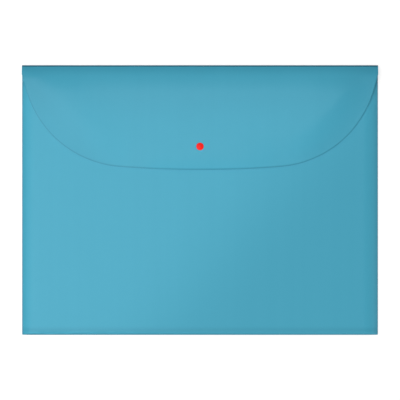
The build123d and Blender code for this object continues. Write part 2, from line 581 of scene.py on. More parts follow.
@dataclass
class Sheet:
    """A closed sheet round a middle surface of two parameters."""

    name: str
    surface: Surface
    rows: Grid
    columns: Grid
    thickness: Grid | float
    edge_room: Surface  # distance from each place to the nearest cut edge
    shade_away_from_edges: Grid | float  # painted shade, and gloss, away from the cut edges
    hole: tuple[slice, slice] | None = None
    cut_shade_width: float = 0.9  # width of the painted shade line along a cut edge
    cut_shade: float = 0.5  # how deep that painted shade is, for the shadow line at the edge

    def shell(self) -> tuple[Grid, Grid]:
        """Works out the sheet's two faces.

        The unit normal is the cross product of the surface's steps along the columns and along the rows,
        each taken over a small change of its parameter. The faces lie half the thickness to either side.
        Within the rounding of a cut edge the half thickness falls as a quarter circle does, and over the
        width of the painted shade line along it that shade falls off evenly.

        Returns:
            The corners of the upper face and then of the lower, and the painted shade and gloss at each.
        """
        row, column = self.rows[:, None], self.columns[None, :]
        nudge = 1e-4
        middle = self.surface(row, column)
        along_column = self.surface(row, column + nudge) - self.surface(row, column - nudge)
        along_row = self.surface(row + nudge, column) - self.surface(row - nudge, column)
        normal = np.cross(along_column, along_row)
        normal /= np.linalg.norm(normal, axis=-1, keepdims=True)
        room = np.broadcast_to(self.edge_room(row, column), middle.shape[:2])
        short = np.clip(1 - room / CUT_RADIUS, 0.0, 1.0)
        half = self.thickness / 2 - CUT_RADIUS * (1 - np.sqrt(1 - short**2))
        offset = normal * half[..., None]
        points = np.concatenate([(middle + offset).reshape(-1, 3), (middle - offset).reshape(-1, 3)])
        # painted shade line along each cut edge, fading over its width
        cut = self.cut_shade * np.clip(1 - room / self.cut_shade_width, 0.0, 1.0)
        painted_shade_and_gloss = np.tile(np.maximum(cut, self.shade_away_from_edges).ravel(), 2)
        return points, painted_shade_and_gloss

    def faces(self) -> Grid:
        """Joins the corners: both faces, and walls between them round the border and the hole.

        Returns:
            The corners of each face, anticlockwise from outside.
        """
        shape = (len(self.rows), len(self.columns))
        index = np.arange(np.prod(shape)).reshape(shape)
        quads = quads_of(index)
        kept = np.ones(quads.shape[:2], bool)
        sides = [walls(border(index), index.size)]
        if self.hole is not None:
            rows, columns = self.hole
            kept[rows.start : rows.stop - 1, columns.start : columns.stop - 1] = False
            sides.append(walls(border(index[self.hole])[::-1], index.size))
        upper = quads[kept]
        return np.concatenate([upper, upper[:, ::-1] + index.size, *sides])

    def build(self) -> bpy.types.Object:
        """Makes the piece, without the corners that are left over in the hole.

        Returns:
            The piece.
        """
        points, painted_shade_and_gloss = self.shell()
        used, faces = np.unique(self.faces(), return_inverse=True)
        return piece_of(self.name, points[used], faces.reshape(-1, 4).tolist(), painted_shade_and_gloss[used])


def box_mm(node: str) -> tuple[Grid, Grid]:
    """The lowest and highest corners of a node of the frame."""
    low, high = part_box(node)
    return np.array(low) / MM, np.array(high) / MM


@dataclass(frozen=True)
class Layout:
    """Where the frame puts the wallet's pieces."""

    half_width: float
    top: float
    bottom: float
    sheet: float  # thickness
    panel_end: float  # the back ends here, at the rear crease
    fold_line: float  # the panels end here, at the bottom fold
    panel_half: float  # half the width between the welds
    mouth: float
    front_top: float
    weld_gap: float  # between the panels, at the welds
    weld_height: float
    spine_y: float
    spine_bottom: float
    flap_tip: float
    flap_root_under: float
    flap_under: float  # underside at the stud
    flap_top: float
    stud_y: float

    @classmethod
    def read(cls) -> "Layout":
        """Reads the places from the frame's nodes.

        Returns:
            The layout.
        """
        back_low, back_high = box_mm("back_panel")
        front_low, front_high = box_mm("front_panel")
        weld_low, weld_high = box_mm("right_weld")
        spine_low, spine_high = box_mm("spine")
        flap_low, flap_high = box_mm("flap")
        cap_low, cap_high = box_mm("snap_cap")
        return cls(
            half_width=back_high[0],
            top=spine_high[1],
            bottom=weld_low[1],
            sheet=back_high[2] - back_low[2],
            panel_end=back_high[1],
            fold_line=back_low[1],
            panel_half=front_high[0],
            mouth=front_high[1],
            front_top=front_high[2],
            weld_gap=front_low[2] - back_high[2],
            weld_height=weld_high[2],
            spine_y=(spine_low[1] + spine_high[1]) / 2,
            spine_bottom=spine_low[2],
            flap_tip=flap_low[1],
            flap_root_under=flap_low[2],
            flap_under=box_mm("snap_socket")[1][2],
            flap_top=flap_high[2],
            stud_y=(cap_low[1] + cap_high[1]) / 2,
        )

    @property
    def punch(self) -> Punch:
        """The hole for a post, through the front and through the flap."""
        return Punch((0.0, self.stud_y), BORE)


@dataclass
class Pocket:
    """The back, the bottom fold and the front, one sheet folded over and welded up both sides."""

    layout: Layout
    shoulder_radius: float = 20.0  # inside of the front's roll down to each side
    leg_steps: int = 2  # of the grid, from a panel to the bend
    bend_steps: int = 20
    row_step: float = 6.0
    column_step: float = 6.0
    shoulder_step: float = 0.9
    narrowing: float = 0.02  # half the length over which the back narrows at the mouth
    ripple: float = 0.035  # share by which the weld's bead swells and shrinks
    ripple_length: float = 4.2  # from one swelling to the next, as the hot blade was drawn along
    ripple_lines: int = 6  # of the grid, over that length
    slow_pace: float = 0.37  # of the bead's slower swelling, beside the quick one
    bead_points: int = 13  # round the bead's section
    bead_end: float = 0.98  # how far an end closes, before a flat face ends it
    bead_shade: float = 0.6  # painted shade on each weld bead, along the sides; glossier there too
    fold_shade: float = 0.55  # painted shade on the fold's outermost line, where it turns away from the light
    fold_power: float = 2.5  # of the sine of the turn, by which that falls off
    weld_shade: float = 0.15  # painted shade beside each weld, where the front rolls down to the side
    weld_shade_width: float = 4.5
    band_shade: float = 0.15  # painted shade in a band on the panels beside the fold
    fold_band_place: float = 4.6  # from the fold's outermost line to the middle of that band
    fold_band_width: float = 2.3
    fold_band_reach: float = 10.0  # that band has faded out here
    fold_band_step: float = 1.0  # between the grid's rows over that band

    def front_height(self, x: Grid) -> Grid:
        """Height of the front's middle surface: level, then a circle about the shoulder down to each side.

        Args:
            x: places across.

        Returns:
            The heights.
        """
        place = self.layout
        gap = place.front_top - 2 * place.sheet
        turn = np.arccos(1 - (gap - place.weld_gap) / self.shoulder_radius)
        shoulder = place.panel_half - self.shoulder_radius * np.sin(turn)
        past = np.maximum(np.abs(x) - shoulder, 0.0)
        return place.front_top - place.sheet / 2 - circle_drop(self.shoulder_radius + place.sheet / 2, past)

    def along_back(self, row: Grid) -> Grid:
        """Places along Y of the rows down the back: a straight line from the rear crease to the fold."""
        place = self.layout
        return place.panel_end + (place.fold_line - place.panel_end) * (row - Stretch.BACK)

    def along_front(self, row: Grid) -> Grid:
        """Places along Y of the rows up the front: a straight line from the fold to the mouth."""
        place = self.layout
        return place.fold_line + (place.mouth - place.fold_line) * (row - Stretch.FRONT)

    def surface(self, row: Grid, column: Grid) -> Grid:
        """The folded sheet's middle surface.

        The rows run down the back, along its leg of the fold, round a half circle, along the front's leg and
        up the front. The half circle is as high as the front is at that place across. The column is the
        share of the half width, which grows by the welds' width above the mouth.

        Args:
            row: place along the sheet.
            column: place across it, from -1 to 1.

        Returns:
            Points of the surface.
        """
        place = self.layout
        row, column = np.broadcast_arrays(row, column)
        low = place.sheet / 2
        on_back = self.along_back(row)
        bare = (row < Stretch.BACK_LEG) & (on_back > place.mouth)
        x = column * np.where(bare, place.half_width, place.panel_half)
        high = self.front_height(x)
        bend = (high - low) / 2
        bend_y = place.bottom + low + bend
        angle = np.clip(row - Stretch.BEND, 0.0, 1.0) * np.pi
        y = np.select(
            [row < Stretch.BACK_LEG, row < Stretch.BEND, row < Stretch.FRONT_LEG, row < Stretch.FRONT],
            [
                on_back,
                place.fold_line + (bend_y - place.fold_line) * (row - Stretch.BACK_LEG),
                bend_y - bend * np.sin(angle),
                bend_y + (place.fold_line - bend_y) * (row - Stretch.FRONT_LEG),
            ],
            self.along_front(row),
        )
        x, y = np.where(row > Stretch.FRONT, place.punch.draw(x, y), (x, y))
        z = np.select(
            [row < Stretch.BEND, row < Stretch.FRONT_LEG], [low, low + bend * (1 - np.cos(angle))], high
        )
        return np.stack([x, y, z], axis=-1)

    def edge_room(self, row: Grid, column: Grid) -> Grid:
        """Distance to the mouth's edge on the front, and to the bare sides above the mouth on the back.

        Args:
            row: place along the sheet.
            column: place across it, from -1 to 1.

        Returns:
            The distances, endless where there is no cut edge.
        """
        place = self.layout
        bare = (row < Stretch.BACK_LEG) & (self.along_back(row) > place.mouth)
        side = np.where(bare, (1 - np.abs(column)) * place.half_width, np.inf)
        from_mouth = (Stretch.MOUTH - row) * (place.mouth - place.fold_line)
        return np.minimum(side, np.where(row > Stretch.FRONT, from_mouth, np.inf))

    def grid_rows(self) -> Grid:
        """Lays the rows: close over the band of painted shade beside the fold, in the bend, round the hole
        and at the mouth.

        Returns:
            The rows in order.
        """
        place = self.layout
        mark = np.arange(place.fold_line, place.bottom + self.fold_band_reach, self.fold_band_step)
        narrow = (place.mouth + self.narrowing, place.mouth - self.narrowing)
        back = spread(place.panel_end, *narrow, *mark[::-1], step=self.row_step)
        down = (back - place.panel_end) / (place.fold_line - place.panel_end)
        leg = np.linspace(0, 1, self.leg_steps + 1)[1:]
        bend = np.linspace(0, 1, self.bend_steps + 1)[1:]
        # The lines start at the mouth's mirror image in the fold, and those before the fold are left out,
        # so that only the mouth's end has the close lines of a rounded edge.
        mirrored = 2 * place.fold_line - place.mouth
        hole = place.punch.stops(place.stud_y)
        front = edge_lines(mirrored, place.mouth, CUT_RADIUS, self.row_step, *mark, *hole)
        up = (front[front > place.fold_line] - place.fold_line) / (place.mouth - place.fold_line)
        runs = {
            Stretch.BACK: down,
            Stretch.BACK_LEG: leg,
            Stretch.BEND: bend,
            Stretch.FRONT_LEG: leg,
            Stretch.FRONT: up,
        }
        return np.concatenate([stretch + run for stretch, run in runs.items()])

    def grid_columns(self) -> Grid:
        """Lays the columns: close at the sides, on the shoulders and round the hole.

        Returns:
            The columns in order, from -1 to 1.
        """
        place = self.layout
        shoulder = place.panel_half - self.shoulder_radius
        stops = (-shoulder, *place.punch.stops(0.0), shoulder)
        rims = edge_lines(-place.half_width, place.half_width, CUT_RADIUS, self.column_step, *stops)
        fine = np.arange(shoulder, place.panel_half, self.shoulder_step)
        lines = np.unique(np.round(np.concatenate([rims, fine, -fine]), LINE_DIGITS))
        return lines / place.half_width

    def shade_away_from_edges(self, rows: Grid, columns: Grid) -> Grid:
        """Painted shade, and gloss, away from the cut edges.

        In the bend the painted shade is a power of the sine of the turn. Beside it a band of painted shade
        is a bell curve of the distance from the fold's outermost line, and along the welds the painted shade
        eases off over its width.

        Args:
            rows: the grid's rows.
            columns: its columns.

        Returns:
            The painted shade and gloss at each place of the grid.
        """
        place = self.layout
        bend = np.clip(rows - Stretch.BEND, 0.0, 1.0)[:, None]
        folded = self.fold_shade * np.sin(np.pi * bend) ** self.fold_power
        from_fold = self.surface(rows, 0.0)[:, 1, None] - place.bottom
        band_shade = self.band_shade * np.exp(-(((from_fold - self.fold_band_place) / self.fold_band_width) ** 2))
        from_weld = (1 - np.abs(columns))[None, :] * place.panel_half
        weld_shade = self.weld_shade * smooth(1 - from_weld / self.weld_shade_width)
        return np.maximum(folded, band_shade + weld_shade)

    def sheet(self) -> Sheet:
        """Lays the folded sheet on its grid, with the hole for the stud's post.

        Returns:
            The sheet.
        """
        place = self.layout
        rows, columns = self.grid_rows(), self.grid_columns()
        front_rows = np.where(rows > Stretch.FRONT, self.along_front(rows), np.inf)
        return Sheet(
            name="pocket_sheet",
            surface=self.surface,
            rows=rows,
            columns=columns,
            thickness=place.sheet,
            edge_room=self.edge_room,
            shade_away_from_edges=self.shade_away_from_edges(rows, columns),
            hole=place.punch.block(columns * place.panel_half, front_rows),
        )

    def bead(self, side: Side) -> bpy.types.Object:
        """Makes the weld's bead along one side.

        Its section is half an ellipse out from the sheets' ends. Along its length it swells and shrinks by
        the product of a quick and a slow sine, and at its ends it closes as a quarter ellipse. The two beads
        are mirrored, so their faces go round opposite ways.

        Args:
            side: the welded side.

        Returns:
            The piece.
        """
        place = self.layout
        width = place.half_width - place.panel_half
        high = place.weld_height / 2
        along = edge_lines(place.bottom, place.mouth, high, self.ripple_length / self.ripple_lines)[:, None]
        room = np.minimum(along - place.bottom, place.mouth - along)
        close = np.sqrt(1 - np.clip(1 - room / high, 0.0, self.bead_end) ** 2)
        phase = 2 * np.pi * along / self.ripple_length
        wave = np.sin(phase) * np.sin(self.slow_pace * phase + side.value)
        swell = close * (1 - self.ripple * (1 + wave))
        angle = np.linspace(-np.pi / 2, np.pi / 2, self.bead_points)[None, :]
        x = side.value * (place.panel_half + width * swell * np.cos(angle))
        z = high + high * swell * np.sin(angle)
        points = np.stack(np.broadcast_arrays(x, along, z), axis=-1)
        index = np.arange(x.size).reshape(x.shape)
        around = np.concatenate([index, index[:, :1]], axis=1)
        way = side.value
        quads = quads_of(around).reshape(-1, 4)[:, ::-way]
        faces = [*quads.tolist(), index[0, ::way].tolist(), index[-1, ::-way].tolist()]
        return piece_of(f"weld_bead_{side.name.lower()}", points.reshape(-1, 3), faces, self.bead_shade)

    def build(self, satin: bpy.types.Material) -> list[bpy.types.Object]:
        """Makes the folded sheet and its two weld beads, which ride on the pocket.

        Args:
            satin: the sheet's finish.

        Returns:
            The three pieces.
        """
        panels = ("back_panel", "bottom_fold", "front_panel")
        pieces = [
            dress(self.sheet().build(), satin, panels),
            dress(self.bead(Side.LEFT), satin, ("left_weld",)),
            dress(self.bead(Side.RIGHT), satin, ("right_weld",)),
        ]
        for piece in pieces:
            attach(piece, Body.POCKET.value)
        return pieces


@dataclass
class Flap:
    """The die-cut flap: rolled to its crease, level at the stud, and bending down to its tip and corners."""

    layout: Layout
    roll_radius: float = 80.0
    fold_radius: float = 2.6  # middle of the sheet, where the roll turns down to the spine
    crown_radius: float = 3000.0
    land: float = 5.0  # half the level stretch at the stud
    tip_gap: float = 0.3  # above the front, at the tip and along the rim of each corner
    tip_plan_radius: float = 1000.0
    corner_radius: float = 97.5
    corner_margin: float = 0.7
    side_drop: float = 8.5  # below the top fold, where the cut edge leaves the side
    droop: float = 1.7  # the corners bend down towards the pocket's rolled sides by this much
    droop_start: float = 143.0  # from the middle line to where the bend's line meets the top fold
    droop_lean: float = 58.0  # degrees from the top fold down to the bend's line
    droop_reach: float = 32.0  # from that line to the furthest corner
    droop_fade: float = 26.0  # below the crease, which stays straight
    ridge: float = 1.2  # height of the soft ridge along the bend's line
    ridge_width: float = 20.0
    rim_width: float = 34.0  # from the cut edge of each corner, over which the flap comes down to the front
    rim_start: float = 40.0  # from the middle line to where that sets in
    rim_full: float = 70.0  # and to where it is complete
    crease_shade: float = 0.16  # painted shade along the root, where the flap turns over the fold; glossier there too
    crease_band: float = 9.0  # from the root to where that painted shade ends
    curl_shade: float = 0.16  # painted shade over the flap's roll towards the fold, darker towards the top
    curl_band: float = 60.0
    bend_shade: float = 0.07  # painted shade on each corner past the bend's line
    bend_band: float = 28.0  # over which that sets in
    bend_lead: float = 0.3  # share of that band ahead of the line
    row_step: float = 1.6
    column_step: float = 2.4

    def edge(self, x: Grid) -> tuple[Grid, Grid]:
        """The die-cut edge: a shallow middle arc, a large corner arc and a straight run up to the side.

        The corner's circle touches the middle arc's circle from inside, and the straight run leaves it along
        a tangent.

        Args:
            x: places across.

        Returns:
            The edge's place along Y, and how much longer than its X step each step of the edge is.
        """
        place = self.layout
        side = np.abs(x)
        middle_y = place.flap_tip + self.tip_plan_radius
        between = self.tip_plan_radius - self.corner_radius
        corner_x = place.half_width - self.corner_margin - self.corner_radius
        lean = np.arcsin(corner_x / between)
        corner_y = middle_y - between * np.cos(lean)
        end_x, end_y = place.half_width, place.top - self.side_drop
        far = np.hypot(end_x - corner_x, end_y - corner_y)
        leave = np.arctan2(end_y - corner_y, end_x - corner_x) - np.arccos(self.corner_radius / far)
        leave_x = corner_x + self.corner_radius * np.cos(leave)
        slope = -1 / np.tan(leave)
        reach = np.clip(side - corner_x, -self.corner_radius, leave_x - corner_x)
        arc_drop = np.sqrt(self.corner_radius**2 - reach**2)
        middle_drop = np.sqrt(self.tip_plan_radius**2 - side**2)
        stretches = [side < self.tip_plan_radius * np.sin(lean), side > leave_x]
        runs = [middle_y - middle_drop, end_y - slope * (end_x - side)]
        rises = [side / middle_drop, np.full_like(side, slope)]
        edge_y = np.select(stretches, runs, corner_y - arc_drop)
        return edge_y, np.hypot(1.0, np.select(stretches, rises, reach / arc_drop))

    def roll(self) -> tuple[float, float, float]:
        """Finds the roll's circle.

        The crown's circle leaves the land level. The roll's circle touches it inside and passes through the
        root.

        Returns:
            The roll's centre along Y and Z, and where the crown hands over to it.
        """
        place = self.layout
        crown = np.array([place.stud_y + self.land, place.flap_under - self.crown_radius])
        root = np.array([place.panel_end, place.flap_root_under])
        between = self.crown_radius - self.roll_radius
        across, up = root - crown
        reach = np.hypot(across, up)
        inside = (reach**2 + between**2 - self.roll_radius**2) / (2 * between * reach)
        handover = np.arctan2(across, up) - np.arccos(inside)
        centre = crown + between * np.array([np.sin(handover), np.cos(handover)])
        return centre[0], centre[1], crown[0] + self.crown_radius * np.sin(handover)

    def fold(self) -> tuple[float, float, float]:
        """Finds the fold's circle, which touches the spine's middle plane and the roll's middle from inside.

        Returns:
            The fold's centre along Y and Z, and the slope at which the flap leaves it.
        """
        roll_y, roll_z, _ = self.roll()
        centre_y = self.layout.spine_y - self.fold_radius
        between = self.roll_radius + self.layout.sheet / 2 - self.fold_radius
        slope = np.arcsin((centre_y - roll_y) / between)
        return centre_y, roll_z + between * np.cos(slope), slope

    def root(self) -> tuple[float, float]:
        """Where the flap leaves the fold, along Y and Z."""
        centre_y, centre_z, slope = self.fold()
        return centre_y + self.fold_radius * np.sin(slope), centre_z + self.fold_radius * np.cos(slope)

    def section(self, y: Grid) -> Grid:
        """Height of the underside along the middle line: tip circle, land, crown circle and roll circle.

        Args:
            y: places along.

        Returns:
            The heights.
        """
        place = self.layout
        roll_y, roll_z, handover = self.roll()
        tip_start = place.stud_y - self.land
        crown_start = place.stud_y + self.land
        run = tip_start - place.flap_tip
        fall = place.flap_under - place.front_top - self.tip_gap
        tip_radius = (run**2 + fall**2) / (2 * fall)
        drop = np.select(
            [y < tip_start, y <= crown_start],
            [circle_drop(tip_radius, tip_start - y), 0.0],
            circle_drop(self.crown_radius, y - crown_start),
        )
        rolled = roll_z + self.roll_radius - circle_drop(self.roll_radius, y - roll_y)
        return np.where(y <= handover, place.flap_under - drop, rolled)

    def plan(self, row: Grid, column: Grid) -> tuple[Grid, Grid]:
        """Places of the grid seen from the front.

        Rows -1 to 0 step in from the cut edge over its rounding, square to it, and rows 0 to 1 go on to the
        root.

        Args:
            row: place along the flap.
            column: place across it.

        Returns:
            The places across and along.
        """
        row, column = np.broadcast_arrays(row, column)
        edge_y, stretch = self.edge(column)
        inside = edge_y + CUT_RADIUS * stretch
        rim = edge_y + CUT_RADIUS * (1 + row) * stretch
        y = np.where(row < 0, rim, inside + (self.root()[0] - inside) * row)
        return self.layout.punch.draw(column, y)

    def past_bend(self, x: Grid, y: Grid) -> Grid:
        """How far places lie past the slanting bend line of their corner, below zero on its near side."""
        lean = np.radians(self.droop_lean)
        return (np.abs(x) - self.droop_start) * np.sin(lean) + (self.layout.top - y) * np.cos(lean)

    def surface(self, row: Grid, column: Grid) -> Grid:
        """The flap's middle surface: its section, with a bend at each corner.

        A slanting line crosses each corner. Past it the sheet falls by the square of the distance, and a
        bell curve of the distance raises a soft ridge along it. Both fade out at the crease. The rim of each
        corner then eases down to the gap that the tip has.

        Args:
            row: place along the flap.
            column: place across it.

        Returns:
            Points of the surface.
        """
        place = self.layout
        x, y = self.plan(row, column)
        past = self.past_bend(x, y)
        below = smooth((self.root()[0] - y) / self.droop_fade)
        sag = self.droop * (np.maximum(past, 0.0) / self.droop_reach) ** 2
        rise = self.ridge * np.exp(-((past / self.ridge_width) ** 2))
        under = self.section(y) + (rise - sag) * below
        edge_y, stretch = self.edge(x)
        near = smooth(1 - (y - edge_y) / stretch / self.rim_width)
        at_corner = smooth((np.abs(x) - self.rim_start) / (self.rim_full - self.rim_start))
        under -= np.maximum(under - place.front_top - self.tip_gap, 0.0) * near * at_corner
        return np.stack([x, y, under + place.sheet / 2], axis=-1)

    def edge_room(self, row: Grid, column: Grid) -> Grid:
        """Distance to the cut edge, square to it, and to the sides.

        Args:
            row: place along the flap.
            column: place across it.

        Returns:
            The distances.
        """
        _, y = self.plan(row, column)
        edge_y, stretch = self.edge(np.broadcast_to(column, y.shape))
        return np.minimum((y - edge_y) / stretch, self.layout.half_width - np.abs(column))

    def shade_away_from_edges(self, rows: Grid, columns: Grid) -> Grid:
        """Painted shade, and gloss, away from the cut edges.

        The painted shade at the root and that over the roll ease off from the root, each over its band, and
        the painted shade of the corners eases in about the bend's line. The three add up.

        Args:
            rows: the grid's rows.
            columns: its columns.

        Returns:
            The painted shade and gloss at each place of the grid.
        """
        x, y = self.plan(rows[:, None], columns[None, :])
        from_root = self.root()[0] - y
        band_shade = self.crease_shade * smooth(1 - from_root / self.crease_band)
        curl_shade = self.curl_shade * smooth(1 - from_root / self.curl_band)
        bend_shade = self.bend_shade * smooth(self.bend_lead + self.past_bend(x, y) / self.bend_band)
        return band_shade + curl_shade + bend_shade

    def sheet(self) -> Sheet:
        """Lays the flap on its grid, with close lines over the rounding of the edges and round the hole.

        Returns:
            The sheet.
        """
        place = self.layout
        across = place.punch.stops(0.0)
        columns = edge_lines(-place.half_width, place.half_width, CUT_RADIUS, self.column_step, *across)
        inside, root_y = place.flap_tip + CUT_RADIUS, self.root()[0]
        along = spread(inside, *place.punch.stops(place.stud_y), root_y, step=self.row_step)
        rim = -np.cos(CUT_TURNS[:-1])
        rows = np.concatenate([rim, (along - inside) / (root_y - inside)])
        middle_y = np.where(rows < 0, -np.inf, inside + (root_y - inside) * rows)
        return Sheet(
            name="flap_sheet",
            surface=self.surface,
            rows=rows,
            columns=columns,
            thickness=place.sheet,
            edge_room=self.edge_room,
            shade_away_from_edges=self.shade_away_from_edges(rows, columns),
            hole=place.punch.block(columns, middle_y),
        )

    def build(self, satin: bpy.types.Material) -> bpy.types.Object:
        """Makes the flap, which rides on its own body.

        Args:
            satin: the sheet's finish.

        Returns:
            The piece.
        """
        piece = dress(self.sheet().build(), satin, ("flap",))
        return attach(piece, Body.FLAP.value)


@dataclass
class Spine:
    """The strip along the top between two creases thinned by a press, each a web that bends."""

    layout: Layout
    flap: Flap
    crease_reach: float = 0.35  # from a crease's axis to the full sheet
    crease_left: float = 0.3  # thickness of the sheet left in the middle of a crease
    crease_shade_depth: float = 1.0  # painted shade along the middle of a crease, darkest there; glossier there too
    crease_shade_power: float = 0.5  # of the sine across a crease, by which that falls off
    crease_steps: int = 12
    spine_steps: int = 5
    column_step: float = 15.0

    def strip(self, name: str, rows: Grid, path: Path, crease_shade: bool) -> Sheet:
        """A strip across the whole wallet.

        A crease is thinned by a sine from edge to edge, and given painted shade, and gloss, by a power of
        that sine.

        Args:
            name: the piece's name.
            rows: places along the strip's short way.
            path: gives the places along Y and Z for such places.
            crease_shade: whether the strip is thinned along its middle, with painted shade there.

        Returns:
            The sheet.
        """
        place = self.layout

        def surface(row: Grid, column: Grid) -> Grid:
            """The path carried across."""
            y, z = path(row)
            return np.stack(np.broadcast_arrays(column, y, z), axis=-1)

        def edge_room(row: Grid, column: Grid) -> Grid:
            """Distance to the cut ends, the same in each row."""
            return place.half_width - np.abs(column)

        wave = np.sin(np.pi * (rows - rows[0]) / (rows[-1] - rows[0]))[:, None] if crease_shade else 0.0
        return Sheet(
            name=name,
            surface=surface,
            rows=rows,
            columns=edge_lines(-place.half_width, place.half_width, CUT_RADIUS, self.column_step),
            thickness=place.sheet - (place.sheet - self.crease_left) * wave,
            edge_room=edge_room,
            # painted shade along the crease's middle
            shade_away_from_edges=self.crease_shade_depth * wave**self.crease_shade_power,
        )

    def rear_path(self, angle: Grid) -> tuple[Grid, Grid]:
        """A quarter circle from the back's end up to the spine's foot.

        Args:
            angle: the turn, from level to upright.

        Returns:
            Places along Y and Z.
        """
        place = self.layout
        y = place.panel_end + self.crease_reach * np.sin(angle)
        z = place.sheet / 2 + self.crease_reach - self.crease_reach * np.cos(angle)
        return y, z

    def upright_path(self, height: Grid) -> tuple[Grid, Grid]:
        """The spine's middle plane, straight up."""
        return np.full_like(height, self.layout.spine_y), height

    def front_path(self, angle: Grid) -> tuple[Grid, Grid]:
        """The fold's arc, from the spine's head over to the flap's root.

        Args:
            angle: the turn, from upright on.

        Returns:
            Places along Y and Z.
        """
        centre_y, centre_z, _ = self.flap.fold()
        radius = self.flap.fold_radius
        return centre_y + radius * np.cos(angle), centre_z + radius * np.sin(angle)

    def build(self, satin: bpy.types.Material) -> list[bpy.types.Object]:
        """Makes the strip, which rides on the spine, and its two creases.

        Args:
            satin: the sheet's finish.

        Returns:
            The rear crease, the strip and the front crease.
        """
        place = self.layout
        _, head, slope = self.flap.fold()

        rear_rows = np.linspace(0, np.pi / 2, self.crease_steps + 1)
        rear_web = self.strip("rear_crease_web", rear_rows, self.rear_path, crease_shade=True)
        rear = dress(rear_web.build(), satin, ("rear_crease",))
        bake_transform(rear)

        spine_rows = np.linspace(place.spine_bottom, head, self.spine_steps + 1)
        spine_strip = self.strip("spine_strip", spine_rows, self.upright_path, crease_shade=False)
        spine = dress(spine_strip.build(), satin, ("spine",))
        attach(spine, Body.SPINE.value)

        front_rows = np.linspace(0, np.pi / 2 - slope, self.crease_steps + 1)
        front_web = self.strip("front_crease_web", front_rows, self.front_path, crease_shade=True)
        front = dress(front_web.build(), satin, ("front_crease",))
        root_y, root_z = self.flap.root()
        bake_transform(front)
        return [rear, spine, front]


def eased(corners: Grid) -> Grid:
    """Rounds the corners of a half section.

    A corner becomes a parabola that starts and ends the given distance from it, on the lines to its
    neighbours: the square of what is left times the start, twice the product times the corner, and the
    square of what is done times the end. Where the distance is 0 the corner stays as it is.

    Args:
        corners: radius, height and easing distance of each corner, one row each.

    Returns:
        The points of the rounded section.
    """
    place, reach = corners[:, :2], corners[:, 2:]
    before = np.roll(place, 1, axis=0) - place
    after = np.roll(place, -1, axis=0) - place
    start = place + before / np.linalg.norm(before, axis=1, keepdims=True) * reach
    end = place + after / np.linalg.norm(after, axis=1, keepdims=True) * reach
    done = np.linspace(0, 1, CORNER_POINTS)[None, :, None]
    left = 1 - done
    curve = left**2 * start[:, None] + 2 * done * left * place[:, None] + done**2 * end[:, None]
    line = curve.reshape(-1, 2)
    shortest = 1e-5
    apart = np.linalg.norm(line - np.roll(line, 1, axis=0), axis=1) > shortest
    return line[apart]


